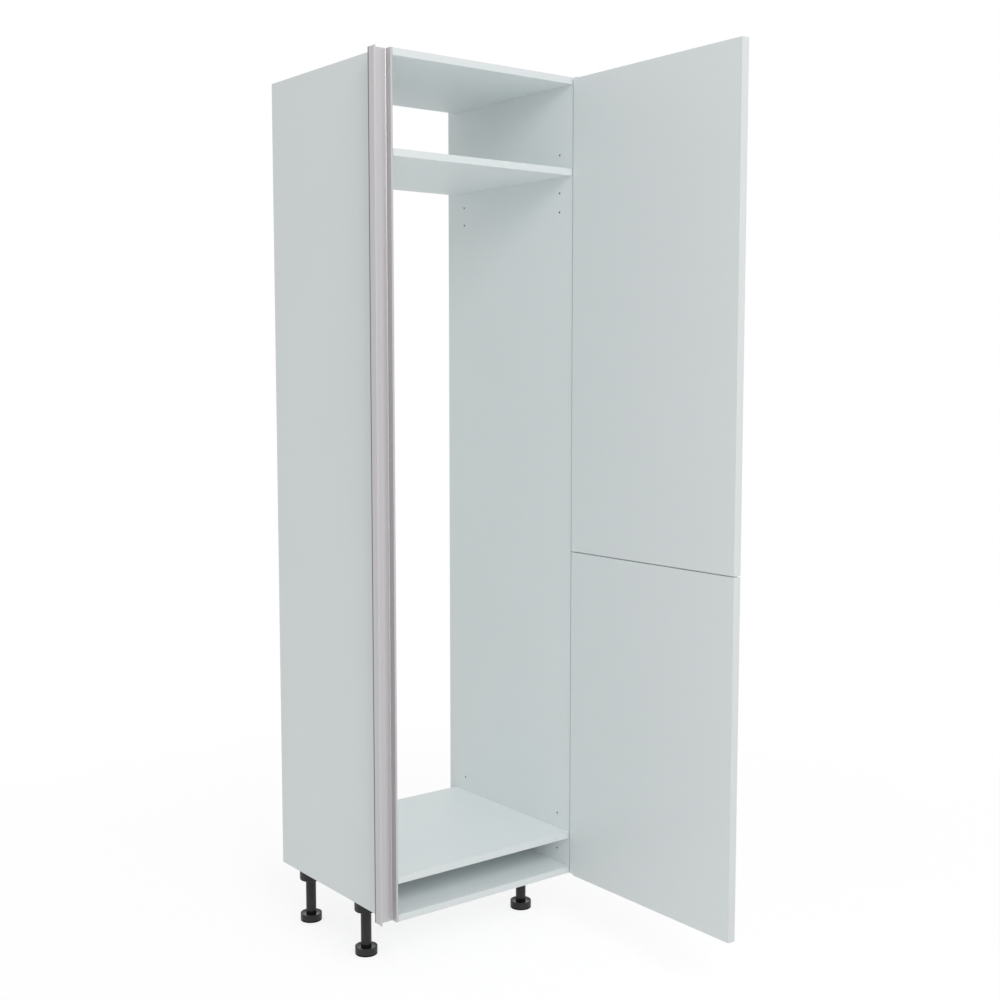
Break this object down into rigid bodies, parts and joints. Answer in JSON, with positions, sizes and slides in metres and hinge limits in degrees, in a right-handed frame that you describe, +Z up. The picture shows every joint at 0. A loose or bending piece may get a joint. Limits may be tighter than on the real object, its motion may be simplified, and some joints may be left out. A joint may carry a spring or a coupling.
{
  "type": "fridge housing unit",
  "caption": "Tall kitchen cabinet that houses a built-in fridge, with two doors on pivot hinges, a side handle profile and adjustable legs.",
  "frame": {"origin": "on the floor, under the middle of the unit's box with both doors open a quarter turn", "axes": "+Z up; +Y towards the wall behind the unit; +X to the right for someone who stands in front of it"},
  "size_m": [0.635, 1.156, 2.295],
  "materials": {
    "board": "pale melamine faced board, cool off-white, fine matt texture",
    "door": "pale lacquered board, cool off-white, satin",
    "profile": "satin anodised extrusion",
    "leg": "moulded black plastic",
    "hinge": "zinc plated steel",
    "bush": "white nylon",
    "dowel": "bare beech"
  },
  "bodies": {
    "carcass": {"left_side_panel": "board", "right_side_panel": "board", "base_panel": "board", "lower_shelf": "board", "upper_shelf": "board", "top_panel": "board", "base_panel_dowel_front_left": "dowel", "base_panel_dowel_front_right": "dowel", "base_panel_dowel_rear_left": "dowel", "base_panel_dowel_rear_right": "dowel", "lower_shelf_dowel_front_left": "dowel", "lower_shelf_dowel_front_right": "dowel", "lower_shelf_dowel_rear_left": "dowel", "lower_shelf_dowel_rear_right": "dowel", "upper_shelf_dowel_front_left": "dowel", "upper_shelf_dowel_front_right": "dowel", "upper_shelf_dowel_rear_left": "dowel", "upper_shelf_dowel_rear_right": "dowel", "top_panel_dowel_front_left": "dowel", "top_panel_dowel_front_right": "dowel", "top_panel_dowel_rear_left": "dowel", "top_panel_dowel_rear_right": "dowel", "handle_profile": "profile", "lower_profile_bracket": "hinge", "middle_profile_bracket": "hinge", "upper_profile_bracket": "hinge", "lower_bracket_screw": "hinge", "middle_bracket_screw": "hinge", "upper_bracket_screw": "hinge", "top_pivot_strap": "hinge", "top_pivot_strap_screw_1": "hinge", "top_pivot_strap_screw_2": "hinge", "bottom_pivot_strap": "hinge", "bottom_pivot_strap_screw_1": "hinge", "bottom_pivot_strap_screw_2": "hinge", "middle_pivot_bracket": "hinge", "middle_pivot_screw_1": "hinge", "middle_pivot_screw_2": "hinge", "top_pivot_pin": "hinge", "middle_pivot_pin": "hinge", "bottom_pivot_pin": "hinge", "front_left_leg_socket": "leg", "front_left_leg_column": "leg", "front_right_leg_socket": "leg", "front_right_leg_column": "leg", "rear_left_leg_socket": "leg", "rear_left_leg_column": "leg", "rear_right_leg_socket": "leg", "rear_right_leg_column": "leg"},
    "upper_door": {"upper_door": "door", "upper_door_lower_bush": "bush", "upper_door_upper_bush": "bush"},
    "lower_door": {"lower_door": "door", "lower_door_lower_bush": "bush", "lower_door_upper_bush": "bush"},
    "front_left_foot": {"front_left_leg_foot": "leg"},
    "front_right_foot": {"front_right_leg_foot": "leg"},
    "rear_left_foot": {"rear_left_leg_foot": "leg"},
    "rear_right_foot": {"rear_right_leg_foot": "leg"}
  },
  "joints": [
    {"name": "upper_door_swing", "type": "hinge", "parent": "carcass", "child": "upper_door", "pos_m": [0.3065, 0.004, 1.6685], "axis": [0, 0, 1], "range_deg": [-90, 15]},
    {"name": "lower_door_swing", "type": "hinge", "parent": "carcass", "child": "lower_door", "pos_m": [0.3065, 0.004, 0.5955], "axis": [0, 0, 1], "range_deg": [-90, 15]},
    {"name": "front_left_foot_height", "type": "slide", "parent": "carcass", "child": "front_left_foot", "axis": [0, 0, -1], "range_m": [0, 0.025]},
    {"name": "front_right_foot_height", "type": "slide", "parent": "carcass", "child": "front_right_foot", "axis": [0, 0, -1], "range_m": [0, 0.025]},
    {"name": "rear_left_foot_height", "type": "slide", "parent": "carcass", "child": "rear_left_foot", "axis": [0, 0, -1], "range_m": [0, 0.025]},
    {"name": "rear_right_foot_height", "type": "slide", "parent": "carcass", "child": "rear_right_foot", "axis": [0, 0, -1], "range_m": [0, 0.025]}
  ]
}
